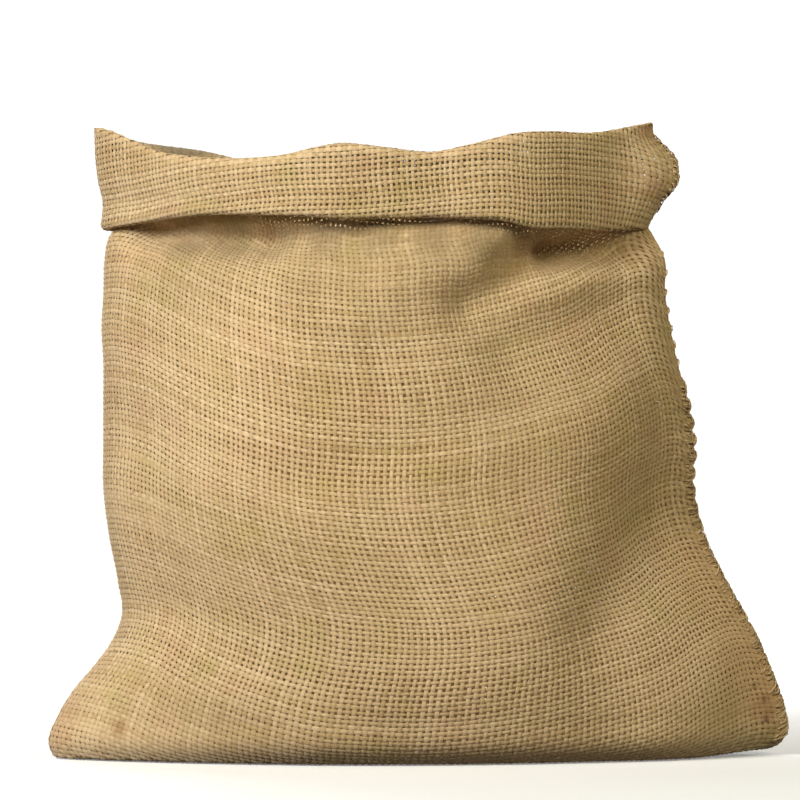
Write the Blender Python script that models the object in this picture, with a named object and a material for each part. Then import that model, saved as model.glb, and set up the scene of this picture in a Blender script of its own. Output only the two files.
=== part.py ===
"""A hessian sack that stands by itself with its mouth rolled outward twice.

It is one piece of open jute cloth. The cloth is folded at the left side, sewn along
the right side and across the bottom, and turned down at the mouth into a cuff of two
layers outside the wall. The sack is empty. Its foot lies flat on the floor as a long
pointed oval, with the bottom seam along its middle and a corner at each end.

The middle of the cloth's thickness is a grid. It has a row for each level from the
bottom seam up the wall, over the rim, down the cuff and up again behind it, and a
column for each step round the sack. Columns start at the right seam, run along the
front to the left fold and come back along the rear. Solidify gives the cloth its
thickness, and the sewn edge on the right is a fin joined to it.

Metres, +Z up. +X is the seam side, -Y is the front, and the floor is at zero.
"""

import math

import bmesh
import bpy
import numpy as np

MM = 0.001

# Driving dimensions.
CLOTH = 2.0 * MM
COLUMNS = 56
FOOT_SHARES = (0.7, 0.38, 0.1)

# The rolled cuff: the rim's bend, the lower fold's bend and the hidden hem.
RIM_RADIUS = 4.5 * MM
FOLD_RADIUS = 2.6 * MM
HEM_SHORT_OF_RIM = 9.0 * MM
RIM_MEAN = 335.0 * MM
RIM_LIFT_FROM = 235.0 * MM

# The sewn edge that stands out of the right side.
FIN_REACH = 9.5 * MM
FIN_ROOT = 4.0 * MM
FIN_THICKNESS = 3.6 * MM
SCALLOP_PITCH = 10.0 * MM
SCALLOP_DEPTH = 1.1 * MM
FIN_STEP = 2.5 * MM
WALL_FIN = (5.0 * MM, 282.0 * MM)
CUFF_FIN = (0.06, 0.74)

# The right corner of the foot curls off the floor.
CURL_FROM = 140.0 * MM
CURL_OVER = 55.0 * MM
CURL_LIFT = 3.0 * MM
CURL_FADES_AT = 70.0 * MM

# Level sections of the wall in millimetres: where the cloth's outside is at each side,
# how far it reaches to the front and to the rear, how pointed each end is (0 oval,
# 1 sharp) and how far the section is turned about +Z, in degrees.
SECTION_COLUMNS = (
    "height", "left", "right", "front", "back", "sharp_left", "sharp_right", "turn",
)
SECTIONS = (
    (1.0, -199.5, 188.0, 66.0, 64.0, 0.62, 0.70, 3.5),
    (6.0, -202.0, 192.0, 72.0, 70.0, 0.60, 0.70, 3.4),
    (24.0, -197.0, 192.0, 79.5, 76.5, 0.55, 0.70, 3.2),
    (37.0, -189.0, 188.0, 82.5, 79.5, 0.48, 0.68, 3.0),
    (50.0, -178.0, 183.0, 84.5, 81.5, 0.38, 0.65, 2.8),
    (64.0, -168.0, 177.0, 86.2, 83.2, 0.26, 0.62, 2.5),
    (77.0, -163.0, 170.0, 87.6, 84.4, 0.20, 0.60, 2.3),
    (96.0, -165.0, 159.0, 89.0, 85.0, 0.15, 0.57, 2.0),
    (122.0, -170.0, 147.0, 90.0, 86.0, 0.15, 0.53, 1.6),
    (148.0, -173.0, 142.0, 89.0, 86.0, 0.18, 0.50, 1.2),
    (168.0, -173.0, 143.0, 87.0, 85.0, 0.22, 0.48, 1.0),
    (194.0, -173.0, 139.0, 84.0, 82.0, 0.26, 0.46, 0.7),
    (214.0, -173.0, 133.0, 82.0, 80.0, 0.30, 0.45, 0.5),
    (233.0, -174.0, 129.0, 79.0, 78.0, 0.34, 0.45, 0.3),
    (253.0, -173.0, 126.0, 75.0, 74.0, 0.38, 0.46, 0.0),
    (268.0, -172.5, 126.0, 71.0, 71.0, 0.42, 0.48, 0.0),
    (281.0, -169.5, 119.0, 67.5, 68.0, 0.44, 0.48, 0.0),
    (290.0, -161.5, 114.0, 65.0, 66.0, 0.48, 0.50, 0.0),
    (310.0, -159.5, 113.0, 62.5, 63.5, 0.52, 0.54, 0.0),
    (335.0, -161.0, 114.0, 62.5, 64.5, 0.58, 0.58, 0.0),
)

# The levels of the wall's rows, in millimetres.
LEVELS = (
    1.0, 6.0, 15.0, 26.0, 38.0, 50.0, 64.0, 78.0, 92.0, 107.0, 122.0, 137.0, 152.0,
    167.0, 182.0, 197.0, 211.0, 225.0, 238.0, 250.0, 261.0, 271.0, 281.0, 291.0, 311.0,
)

# The cuff's outer layer in millimetres, from the rim (share 0) to its lower fold
# (share 1): where it reaches at each side, and how far it lies outside the wall.
CUFF_COLUMNS = ("share", "left", "right", "out")
CUFF = (
    (0.0, -178.0, 127.5, 9.0),
    (0.25, -177.5, 132.0, 9.6),
    (0.5, -176.0, 134.0, 10.2),
    (0.75, -173.5, 132.0, 11.2),
    (1.0, -174.5, 125.5, 12.0),
)

# The rim's height along X, at the front and at the rear, in millimetres.
RIM_COLUMNS = ("x", "front", "back")
RIM = (
    (-178.0, 346.5, 346.5),
    (-168.0, 341.5, 341.0),
    (-155.0, 334.5, 336.8),
    (-141.0, 328.5, 335.2),
    (-120.0, 325.0, 333.0),
    (-105.0, 324.0, 330.0),
    (-90.0, 324.0, 325.5),
    (-72.0, 325.5, 322.0),
    (-58.0, 328.5, 323.0),
    (-44.0, 331.0, 326.0),
    (-18.0, 329.0, 327.0),
    (8.0, 327.0, 325.0),
    (27.0, 331.0, 326.0),
    (50.0, 337.0, 329.0),
    (70.0, 338.5, 332.0),
    (92.0, 338.5, 335.0),
    (108.0, 341.0, 339.0),
    (118.0, 345.0, 343.5),
    (128.0, 347.0, 347.0),
)

# The height of the cuff's lower fold along X, at the front and at the rear.
HEM_COLUMNS = ("x", "front", "back")
HEM = (
    (-178.0, 285.0, 285.0),
    (-152.0, 288.0, 286.0),
    (-120.0, 291.5, 289.0),
    (-92.0, 291.5, 292.0),
    (-70.0, 290.7, 293.0),
    (-38.0, 288.8, 294.0),
    (-11.0, 289.2, 293.0),
    (16.0, 289.4, 290.0),
    (43.0, 288.0, 288.0),
    (60.0, 284.5, 287.5),
    (76.0, 284.5, 287.0),
    (98.0, 284.5, 286.0),
    (126.0, 286.0, 286.0),
)

# Soft folds of the wall in millimetres. Each runs from a start to an end point, given
# as X and height, stands out (positive) or sinks in (negative) by rise, and fades over
# width to either side of its line.
FOLD_COLUMNS = ("side", "x0", "z0", "x1", "z1", "rise", "width")
FOLDS = (
    ("front", 110.0, 276.0, 62.0, 274.0, -16.0, 13.0),
    ("front", 74.0, 268.0, 26.0, 245.0, -6.0, 14.0),
    ("front", 98.0, 240.0, 52.0, 222.0, -6.0, 25.0),
    ("front", 18.0, 280.0, -34.0, 240.0, 5.5, 18.0),
    ("front", -60.0, 280.0, -146.0, 283.0, -9.0, 12.0),
    ("front", 148.0, 166.0, 92.0, 70.0, -5.2, 22.0),
    ("front", 92.0, 196.0, 66.0, 108.0, 2.0, 24.0),
    ("front", 186.0, 76.0, 126.0, 12.0, 3.0, 24.0),
    ("front", 88.0, 196.0, -70.0, 152.0, -1.5, 12.0),
    ("front", -150.0, 175.0, -134.0, 92.0, -3.5, 22.0),
    ("front", -60.0, 190.0, -20.0, 60.0, 3.0, 48.0),
    ("front", -120.0, 45.0, -60.0, 18.0, 2.0, 20.0),
    ("back", -70.0, 282.0, -30.0, 205.0, -10.0, 14.0),
    ("back", 30.0, 284.0, 70.0, 190.0, 5.0, 20.0),
    ("back", -120.0, 240.0, -60.0, 110.0, -6.0, 26.0),
    ("back", 110.0, 180.0, 60.0, 60.0, -6.0, 28.0),
    ("back", -10.0, 170.0, 10.0, 60.0, 4.0, 46.0),
)

# In-and-out waves of the mouth, seen from above: X, rise at the front and at the rear.
WAVE_COLUMNS = ("x", "front", "back")
WAVES = (
    (-178.0, 0.0, 0.0),
    (-140.0, -1.5, 2.0),
    (-95.0, -3.5, 3.5),
    (-45.0, 2.0, 0.0),
    (8.0, -2.0, -5.0),
    (50.0, 3.0, 1.0),
    (85.0, -0.5, 3.0),
    (108.0, -3.0, 2.0),
    (128.0, -3.0, 0.0),
)

# Puts the middle of the sack's outline, seen from above, at the origin.
CENTRING = (0.7 * MM, 1.9 * MM, 0.0)

JUTE = (0.50, 0.33, 0.15, 1.0)
JUTE_ROUGHNESS = 0.95


def column(table, names, name):
    """One named column of a table, as an array."""
    place = names.index(name)
    return np.array([row[place] for row in table], float)


def smooth_read(xs, ys, x):
    """The value at x of a smooth curve through the points (xs, ys)."""
    slopes = np.gradient(ys, xs)
    x = np.clip(x, xs[0], xs[-1])
    i = np.clip(np.searchsorted(xs, x) - 1, 0, len(xs) - 2)
    step = xs[i + 1] - xs[i]
    t = (x - xs[i]) / step
    start = ys[i] * (1 + 2 * t) * (1 - t) ** 2
    end = ys[i + 1] * t * t * (3 - 2 * t)
    bend = step * t * (1 - t) * (slopes[i] * (1 - t) - slopes[i + 1] * t)
    return start + end + bend


def read(table, names, name, at):
    """A named column of a table in millimetres, read smoothly at a place in metres."""
    first = column(table, names, names[0])
    return smooth_read(first, column(table, names, name), np.asarray(at) / MM)


def ease(value):
    """0 below 0, 1 above 1 and smooth between."""
    value = np.clip(value, 0.0, 1.0)
    return value * value * (3 - 2 * value)


def section(height):
    """The wall's middle surface at a level, as a dictionary in metres and degrees."""
    found = {
        name: float(read(SECTIONS, SECTION_COLUMNS, name, height))
        for name in SECTION_COLUMNS
    }
    for name in ("left", "right", "front", "back"):
        found[name] *= MM
    found["left"] += CLOTH / 2
    found["right"] -= CLOTH / 2
    found["front"] -= CLOTH / 2
    found["back"] -= CLOTH / 2
    return found


def mixed(one, other, share):
    """A section part of the way from one to the other."""
    return {name: one[name] + (other[name] - one[name]) * share for name in one}


def cuff_section(share):
    """The cuff's outer layer, part of the way from the rim to its lower fold."""
    found = dict(section(RIM_MEAN))
    out = float(smooth_read(*cuff_curve("out"), share)) * MM
    found["left"] = float(smooth_read(*cuff_curve("left"), share)) * MM + CLOTH / 2
    found["right"] = float(smooth_read(*cuff_curve("right"), share)) * MM - CLOTH / 2
    found["front"] += out
    found["back"] += out
    return found


def cuff_curve(name):
    """The shares down the cuff and a named column of its table."""
    return column(CUFF, CUFF_COLUMNS, "share"), column(CUFF, CUFF_COLUMNS, name)


def half_ring(shape, reach, count):
    """Points of a section from its right end to its left end, evenly spaced."""
    angle = np.linspace(0.0, math.pi, 361)
    middle = (shape["left"] + shape["right"]) / 2
    half = (shape["right"] - shape["left"]) / 2
    side = (1 + np.cos(angle)) / 2
    sharp = shape["sharp_left"] + (shape["sharp_right"] - shape["sharp_left"]) * side
    sine = np.sin(angle)
    x = middle + half * np.cos(angle)
    y = reach * (sine * (1 - sharp) + sine * sine * sharp)
    along = np.concatenate([[0], np.cumsum(np.hypot(np.diff(x), np.diff(y)))])
    even = np.linspace(0, along[-1], count)
    return np.interp(even, along, x), np.interp(even, along, y)


def ring(shape):
    """A section's points: X, Y before it is turned, and +1 at the front or -1 behind."""
    count = COLUMNS // 2 + 1
    front_x, front_y = half_ring(shape, shape["front"], count)
    back_x, back_y = half_ring(shape, shape["back"], count)
    x = np.concatenate([front_x, back_x[-2:0:-1]])
    y = np.concatenate([-front_y, back_y[-2:0:-1]])
    side = np.where(np.arange(COLUMNS) < count, 1.0, -1.0)
    return x, y, side


def by_side(table, names, x, side):
    """A front or rear column of a table along X, for each point's own side."""
    front = read(table, names, "front", x)
    back = read(table, names, "back", x)
    return np.where(side > 0, front, back) * MM


def fold_rise(x, z, side):
    """How far the wall's folds move it outward at each point."""
    total = np.zeros_like(x)
    for row in FOLDS:
        fold = dict(zip(FOLD_COLUMNS, row))
        start = np.array([fold["x0"], fold["z0"]]) * MM
        run = np.array([fold["x1"], fold["z1"]]) * MM - start
        share = ((x - start[0]) * run[0] + (z - start[1]) * run[1]) / (run @ run)
        near = np.clip(share, 0.0, 1.0)
        away = np.hypot(x - start[0] - near * run[0], z - start[1] - near * run[1])
        swell = np.exp(-((away / (fold["width"] * MM)) ** 2))
        here = side > 0 if fold["side"] == "front" else side < 0
        total += np.where(here, fold["rise"] * MM * swell, 0.0)
    return total


def pushed_out(x, y, amount):
    """The ring's points moved along its outward normals, and not at its two ends."""
    run_x = np.roll(x, -1) - np.roll(x, 1)
    run_y = np.roll(y, -1) - np.roll(y, 1)
    size = np.hypot(run_x, run_y)
    ends = np.abs(y) / np.abs(y).max()
    amount = amount * ease(ends / 0.35)
    return x - run_y / size * amount, y + run_x / size * amount


def turned(x, y, degrees):
    """The points turned about +Z."""
    angle = math.radians(degrees)
    return (
        x * math.cos(angle) - y * math.sin(angle),
        x * math.sin(angle) + y * math.cos(angle),
    )


def curl(x, height):
    """How far the right corner of the foot is off the floor."""
    return (
        CURL_LIFT
        * ease((x - CURL_FROM) / CURL_OVER)
        * (1 - ease(height / CURL_FADES_AT))
    )


def mouth_wave(x, side):
    """How far the waves of the mouth move it outward."""
    return by_side(WAVES, WAVE_COLUMNS, x, side)


def wall_row(height):
    """The points of the wall at a level, with the rim's rise near the mouth."""
    shape = section(height)
    x, y, side = ring(shape)
    share = ease((height - RIM_LIFT_FROM) / (RIM_MEAN - RIM_LIFT_FROM))
    z = height + share * (by_side(RIM, RIM_COLUMNS, x, side) - RIM_MEAN)
    rise = fold_rise(x, z, side) * (1 - share) + mouth_wave(x, side) * share
    x, y = pushed_out(x, y, rise)
    x, y = turned(x, y, shape["turn"])
    return np.stack([x, y, z + curl(x, height)], axis=1)


def foot_row(share):
    """The points of the cloth under the sack, between the bottom seam and its edge."""
    edge = wall_row(CLOTH / 2)
    points = edge.copy()
    shape = section(CLOTH / 2)
    slope = math.tan(math.radians(shape["turn"]))
    seam = edge[:, 0] * slope
    points[:, 1] = seam + (edge[:, 1] - seam) * share
    return points


def rolled_row(shape, drop_from_rim, share):
    """A row of the rolled mouth: a height below the rim, then a share towards the hem."""
    x, y, side = ring(shape)
    rim = by_side(RIM, RIM_COLUMNS, x, side) - RIM_RADIUS - CLOTH / 2
    hem = by_side(HEM, HEM_COLUMNS, x, side) + FOLD_RADIUS + CLOTH / 2
    x, y = pushed_out(x, y, mouth_wave(x, side))
    return np.stack([x, y, rim + (hem - rim) * share - drop_from_rim], axis=1)


def mouth_rows():
    """The rows over the rim, down the cuff, round its lower fold and up behind it."""
    wall, top, low = section(RIM_MEAN), cuff_section(0.0), cuff_section(1.0)
    rows = []
    for angle in np.radians([0, 60, 120]):
        shape = mixed(wall, top, (1 - math.cos(angle)) / 2)
        rows.append(rolled_row(shape, -RIM_RADIUS * math.sin(angle), 0.0))
    for share in (0.0, 0.25, 0.5, 0.75, 1.0):
        rows.append(rolled_row(cuff_section(share), 0.0, share))
    gap = 2 * FOLD_RADIUS / (low["front"] - wall["front"])
    behind = mixed(low, wall, gap)
    for angle in np.radians([60, 120]):
        shape = mixed(low, behind, (1 - math.cos(angle)) / 2)
        rows.append(rolled_row(shape, FOLD_RADIUS * math.sin(angle), 1.0))
    hem_top = mixed(wall, top, 0.5)
    for share in (0.0, 0.5, 1.0):
        shape = mixed(behind, hem_top, share)
        rows.append(rolled_row(shape, HEM_SHORT_OF_RIM * share, 1 - share))
    return rows


def sheet_mesh():
    """The cloth's middle surface from the bottom seam to the hem behind the cuff."""
    rows = [foot_row(share) for share in reversed(FOOT_SHARES)]
    rows += [wall_row(level * MM) for level in LEVELS]
    rows += mouth_rows()
    shape = bmesh.new()
    grid = [[shape.verts.new(point) for point in row] for row in rows]
    for lower, upper in zip(grid, grid[1:]):
        for i in range(COLUMNS):
            j = (i + 1) % COLUMNS
            shape.faces.new((lower[i], upper[i], upper[j], lower[j]))
    close_foot(shape, grid[0])
    bmesh.ops.recalc_face_normals(shape, faces=shape.faces)
    mesh = bpy.data.meshes.new("sack")
    shape.to_mesh(mesh)
    shape.free()
    return mesh


def close_foot(shape, row):
    """Joins the front and the rear of the first row across the bottom seam."""
    half = COLUMNS // 2
    shape.faces.new((row[0], row[1], row[-1]))
    for i in range(1, half - 1):
        shape.faces.new((row[i], row[i + 1], row[-i - 1], row[-i]))
    shape.faces.new((row[half - 1], row[half], row[half + 1]))


def fin_mesh(name, root):
    """A thin fin with a scalloped edge that stands out of a line of points, along +X."""
    along = np.concatenate([[0], np.cumsum(np.linalg.norm(np.diff(root, axis=0), axis=1))])
    steps = max(4, round(along[-1] / FIN_STEP))
    even = np.linspace(0, along[-1], steps + 1)
    line = np.stack([np.interp(even, along, root[:, i]) for i in range(3)], axis=1)
    scallop = np.abs(np.sin(math.pi * even / SCALLOP_PITCH))
    fade = ease(np.minimum(even, along[-1] - even) / FIN_REACH)
    reach = (FIN_REACH - CLOTH / 2) * fade - SCALLOP_DEPTH * (1 - scallop) * fade
    shape = bmesh.new()
    rows = []
    for point, out in zip(line, reach):
        corners = [
            (-FIN_ROOT, -FIN_THICKNESS / 2),
            (max(out - MM, 0.5 * MM), -FIN_THICKNESS / 2),
            (max(out, MM), 0.0),
            (max(out - MM, 0.5 * MM), FIN_THICKNESS / 2),
            (-FIN_ROOT, FIN_THICKNESS / 2),
        ]
        rows.append([
            shape.verts.new((point[0] + x, point[1] + y, point[2])) for x, y in corners
        ])
    for lower, upper in zip(rows, rows[1:]):
        for i in range(len(lower)):
            j = (i + 1) % len(lower)
            shape.faces.new((lower[i], lower[j], upper[j], upper[i]))
    shape.faces.new(rows[0][::-1])
    shape.faces.new(rows[-1])
    bmesh.ops.recalc_face_normals(shape, faces=shape.faces)
    mesh = bpy.data.meshes.new(name)
    shape.to_mesh(mesh)
    shape.free()
    return mesh


def wall_fin_line():
    """The right end of the wall from the foot to just under the cuff."""
    heights = np.linspace(WALL_FIN[0], WALL_FIN[1], 60)
    return np.array([wall_row(height)[0] for height in heights])


def cuff_fin_line():
    """The right end of the cuff where its seam shows."""
    shares = np.linspace(CUFF_FIN[0], CUFF_FIN[1], 12)
    line = [rolled_row(cuff_section(share), 0.0, share)[0] for share in shares]
    return np.array(line[::-1])


def helper(name, mesh):
    """An object that a Boolean joins to the cloth and that isn't drawn."""
    obj = bpy.data.objects.new(name, mesh)
    bpy.context.scene.collection.objects.link(obj)
    obj.location = CENTRING
    obj.hide_render = True
    obj.display_type = "WIRE"
    return obj


def jute_material():
    """Plain jute cloth."""
    material = bpy.data.materials.new("hessian cloth")
    material.use_nodes = True
    shader = material.node_tree.nodes["Principled BSDF"]
    shader.inputs["Base Color"].default_value = JUTE
    shader.inputs["Roughness"].default_value = JUTE_ROUGHNESS
    shader.inputs["Metallic"].default_value = 0.0
    return material


def thickened(mesh):
    """The sheet with its thickness, and its underside made exactly flat on the floor."""
    draft = bpy.data.objects.new("draft", mesh)
    bpy.context.scene.collection.objects.link(draft)
    wall = draft.modifiers.new("cloth", "SOLIDIFY")
    wall.thickness = CLOTH
    wall.offset = 0.0
    wall.use_even_offset = True
    bpy.context.view_layer.update()
    graph = bpy.context.evaluated_depsgraph_get()
    solid = bpy.data.meshes.new_from_object(draft.evaluated_get(graph))
    for vertex in solid.vertices:
        if vertex.co.z < 0.3 * CLOTH:
            vertex.co.z = 0.0
    bpy.data.objects.remove(draft)
    return solid


def build_sack():
    """The cloth with its sewn edge."""
    mesh = thickened(sheet_mesh())
    mesh.name = "sack"
    mesh.shade_smooth()
    sack = bpy.data.objects.new("sack", mesh)
    bpy.context.scene.collection.objects.link(sack)
    sack.location = CENTRING
    sack.data.materials.append(jute_material())
    lines = {"wall_seam_edge": wall_fin_line(), "cuff_seam_edge": cuff_fin_line()}
    for name, line in lines.items():
        join = sack.modifiers.new(name, "BOOLEAN")
        join.operation = "UNION"
        join.solver = "EXACT"
        join.object = helper(name, fin_mesh(name, line))
    return sack


def main():
    for obj in list(bpy.data.objects):
        bpy.data.objects.remove(obj)
    build_sack()


main()
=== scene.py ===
"""A small hessian sack, made yarn by yarn.

Each warp and weft of the cloth is a narrow ribbon of its own that passes over and under
the yarns it crosses. The ribbons follow the sack's cloth from the bottom seam under the
foot, up the wall, over the rim, down the rolled cuff and up again behind it. The sewn
edge on the right has its whip stitches, and loose fibres stand off the cloth.

The file is laid out as an add-on and is run as a script. Metres, +Z up, -Y is the front.
"""

import functools
import math

import bpy
import numpy as np
from bpy.props import FloatProperty, FloatVectorProperty, IntProperty, PointerProperty
from bpy.types import Operator, Panel, PropertyGroup
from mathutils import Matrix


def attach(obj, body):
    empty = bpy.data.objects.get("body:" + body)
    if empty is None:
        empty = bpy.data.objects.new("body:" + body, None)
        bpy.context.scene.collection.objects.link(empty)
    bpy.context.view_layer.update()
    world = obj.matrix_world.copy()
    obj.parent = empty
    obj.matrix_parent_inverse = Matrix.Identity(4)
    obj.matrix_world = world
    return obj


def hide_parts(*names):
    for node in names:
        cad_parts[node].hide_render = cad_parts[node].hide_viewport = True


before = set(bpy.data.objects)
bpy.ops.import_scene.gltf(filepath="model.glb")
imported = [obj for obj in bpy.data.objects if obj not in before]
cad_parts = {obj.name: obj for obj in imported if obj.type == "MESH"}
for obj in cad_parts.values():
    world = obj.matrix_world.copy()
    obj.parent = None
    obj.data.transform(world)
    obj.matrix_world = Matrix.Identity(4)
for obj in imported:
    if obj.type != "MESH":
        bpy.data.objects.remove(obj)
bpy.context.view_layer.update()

bl_info = {
    "name": "Hessian Sack",
    "version": (1, 0, 0),
    "blender": (4, 5, 0),
    "location": "View3D > Sidebar > Sack",
    "description": "Weaves a hessian sack with a rolled mouth and a sewn side, yarn by yarn",
    "category": "Add Mesh",
}

MM = 0.001

# The cloth and its rolled mouth.
CLOTH = 2.0 * MM
RIM_RADIUS = 4.5 * MM
FOLD_RADIUS = 2.6 * MM
HEM_SHORT_OF_RIM = 9.0 * MM
RIM_MEAN = 335.0 * MM
RIM_LIFT_FROM = 235.0 * MM
CURL_FROM, CURL_OVER, CURL_LIFT, CURL_FADES_AT = 140 * MM, 55 * MM, 3 * MM, 70 * MM
CENTRING = (0.7 * MM, 1.9 * MM, 0.0)

# How finely the cloth's surface is worked out before it is woven.
HALF_COLUMNS = 256
GRID_STEP = 0.7 * MM
RING_STEPS = 1440
NOISE_CELLS = (97, 89)
FOOT_SHARES = (0.0, 0.12, 0.25, 0.4, 0.55, 0.7, 0.85)
WALL_ROWS = 190
WALL_TOP = 311 * MM

# The sewn edge on the right side: how far it stands out, its scallops between the
# stitches, and the puckers that they draw in the cloth beside it.
SEAM_REACH = 8.0 * MM
SEAM_TOP = 283.0 * MM
CUFF_SEAM_SHARES = (0.03, 0.68)
LOWEST_THREAD = 0.5 * MM
SCALLOP_PITCH = 9.9 * MM
STITCHES_SHOW_TO = 205.0 * MM
WAVE_STRETCH = 1.06
SCALLOP_COLUMNS = ("height", "depth")
SCALLOPS = (
    (0.0, 0.2),
    (60.0, 0.3),
    (125.0, 0.4),
    (146.0, 2.1),
    (168.0, 3.1),
    (192.0, 2.6),
    (206.0, 0.4),
    (283.0, 0.2),
)
EVENED_FROM = 280.0 * MM
CUFF_EVENED_OVER = 60
FOOT_EVENED_OVER = 42
CUFF_BULGE_REACH = 24.0 * MM
CUFF_SCALLOP_PITCH = 3.6 * MM
CUFF_SCALLOP_DEPTH = 1.0 * MM
PUCKER_HEIGHT = 0.30 * MM
PUCKER_REACH = 11.0 * MM

# Level sections of the wall in millimetres: the cloth's outside at each side, its reach
# to the front and to the rear, how pointed each end is, and its turn in degrees.
SECTION_COLUMNS = (
    "height", "left", "right", "front", "back", "sharp_left", "sharp_right", "turn",
)
SECTIONS = (
    (1.0, -199.5, 188.0, 66.0, 64.0, 0.62, 0.70, 3.5),
    (6.0, -202.0, 192.0, 72.0, 70.0, 0.60, 0.70, 3.4),
    (24.0, -197.0, 192.0, 79.5, 76.5, 0.55, 0.70, 3.2),
    (37.0, -189.0, 188.0, 82.5, 79.5, 0.48, 0.68, 3.0),
    (50.0, -178.0, 183.0, 84.5, 81.5, 0.38, 0.65, 2.8),
    (64.0, -168.0, 177.0, 86.2, 83.2, 0.26, 0.62, 2.5),
    (77.0, -163.0, 170.0, 87.6, 84.4, 0.20, 0.60, 2.3),
    (96.0, -165.0, 159.0, 89.0, 85.0, 0.15, 0.57, 2.0),
    (122.0, -170.0, 147.0, 90.0, 86.0, 0.15, 0.53, 1.6),
    (148.0, -173.0, 142.0, 89.0, 86.0, 0.18, 0.50, 1.2),
    (168.0, -173.0, 143.0, 87.0, 85.0, 0.22, 0.48, 1.0),
    (194.0, -173.0, 139.0, 84.0, 82.0, 0.26, 0.46, 0.7),
    (214.0, -173.0, 133.0, 82.0, 80.0, 0.30, 0.45, 0.5),
    (233.0, -174.0, 129.0, 79.0, 78.0, 0.34, 0.45, 0.3),
    (253.0, -173.0, 126.0, 75.0, 74.0, 0.38, 0.46, 0.0),
    (268.0, -172.5, 126.0, 71.0, 71.0, 0.42, 0.48, 0.0),
    (281.0, -169.5, 119.0, 67.5, 68.0, 0.44, 0.48, 0.0),
    (290.0, -161.5, 114.0, 65.0, 66.0, 0.48, 0.50, 0.0),
    (310.0, -159.5, 113.0, 62.5, 63.5, 0.52, 0.54, 0.0),
    (335.0, -161.0, 114.0, 62.5, 64.5, 0.58, 0.58, 0.0),
)

# The cuff's outer layer in millimetres, from the rim (0) to its lower fold (1).
CUFF_COLUMNS = ("share", "left", "right", "out")
CUFF = (
    (0.0, -178.0, 127.5, 9.0),
    (0.25, -177.5, 132.0, 9.6),
    (0.5, -176.0, 134.0, 10.2),
    (0.75, -173.5, 132.0, 11.2),
    (1.0, -174.5, 125.5, 12.0),
)

# Along X in millimetres, at the front and at the rear: the heights of the rim and of the
# cuff's lower fold, and how far the mouth waves out.
PLACE_COLUMNS = ("x", "front", "back")
RIM = (
    (-178.0, 343.2, 343.2),
    (-168.0, 340.6, 340.4),
    (-155.0, 334.5, 336.8),
    (-141.0, 328.5, 335.2),
    (-120.0, 325.0, 333.0),
    (-105.0, 324.0, 330.0),
    (-90.0, 324.0, 325.5),
    (-72.0, 325.5, 322.0),
    (-58.0, 328.5, 323.0),
    (-44.0, 331.0, 326.0),
    (-18.0, 329.0, 327.0),
    (8.0, 327.0, 325.0),
    (27.0, 331.0, 326.0),
    (50.0, 337.0, 329.0),
    (70.0, 338.5, 332.0),
    (92.0, 338.5, 335.0),
    (108.0, 341.0, 339.0),
    (118.0, 343.6, 343.0),
    (128.0, 346.0, 346.0),
)
CUFF_FOLD = (
    (-178.0, 285.0, 285.0),
    (-152.0, 288.0, 286.0),
    (-120.0, 291.5, 289.0),
    (-92.0, 291.5, 292.0),
    (-70.0, 290.7, 293.0),
    (-38.0, 288.8, 294.0),
    (-11.0, 289.2, 293.0),
    (16.0, 289.4, 290.0),
    (43.0, 288.0, 288.0),
    (60.0, 284.5, 287.5),
    (76.0, 284.5, 287.0),
    (98.0, 284.5, 286.0),
    (126.0, 286.0, 286.0),
)
MOUTH_WAVES = (
    (-178.0, 0.0, 0.0),
    (-140.0, -1.5, 2.0),
    (-95.0, -3.5, 3.5),
    (-45.0, 2.0, 0.0),
    (8.0, -2.0, -5.0),
    (50.0, 3.0, 1.0),
    (85.0, -0.5, 3.0),
    (108.0, -3.0, 2.0),
    (128.0, -3.0, 0.0),
)

# Soft folds of the wall in millimetres: from (x0, z0) to (x1, z1), out or in by rise,
# fading over width to either side.
FOLD_COLUMNS = ("side", "x0", "z0", "x1", "z1", "rise", "width")
FOLDS = (
    ("front", 118.0, 277.0, 80.0, 276.0, -26.0, 10.0),
    ("front", 92.0, 277.0, 60.0, 272.0, -14.0, 12.0),
    ("front", 66.0, 280.0, 48.0, 266.0, -8.0, 11.0),
    ("front", 74.0, 268.0, 26.0, 245.0, -8.0, 13.0),
    ("front", 98.0, 240.0, 52.0, 222.0, -9.0, 25.0),
    ("front", 18.0, 280.0, -34.0, 240.0, 5.5, 18.0),
    ("front", -86.0, 279.0, -150.0, 284.0, -24.0, 9.5),
    ("front", -66.0, 280.0, -110.0, 281.0, -13.0, 10.0),
    ("front", -36.0, 282.0, -76.0, 281.0, -9.0, 9.0),
    ("front", 148.0, 166.0, 92.0, 70.0, -5.2, 22.0),
    ("front", 92.0, 196.0, 66.0, 108.0, 2.0, 24.0),
    ("front", 186.0, 76.0, 126.0, 12.0, 3.0, 24.0),
    ("front", 88.0, 196.0, -70.0, 152.0, -1.5, 12.0),
    ("front", -150.0, 175.0, -134.0, 92.0, -3.5, 22.0),
    ("front", -60.0, 190.0, -20.0, 60.0, 3.0, 48.0),
    ("front", -120.0, 45.0, -60.0, 18.0, 2.0, 20.0),
    ("back", -70.0, 282.0, -30.0, 205.0, -10.0, 14.0),
    ("back", 30.0, 284.0, 70.0, 190.0, 5.0, 20.0),
    ("back", -120.0, 240.0, -60.0, 110.0, -6.0, 26.0),
    ("back", 110.0, 180.0, 60.0, 60.0, -6.0, 28.0),
    ("back", -10.0, 170.0, 10.0, 60.0, 4.0, 46.0),
)

# Marks that say which stretch of the cloth a row is on.
ON_FOOT, ON_WALL, ON_RIM, ON_CUFF, ON_FOLD, ON_HEM = 0.0, 1.0, 2.0, 3.0, 4.0, 5.0
FACES_TURN_AT = 292.0 * MM

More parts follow.
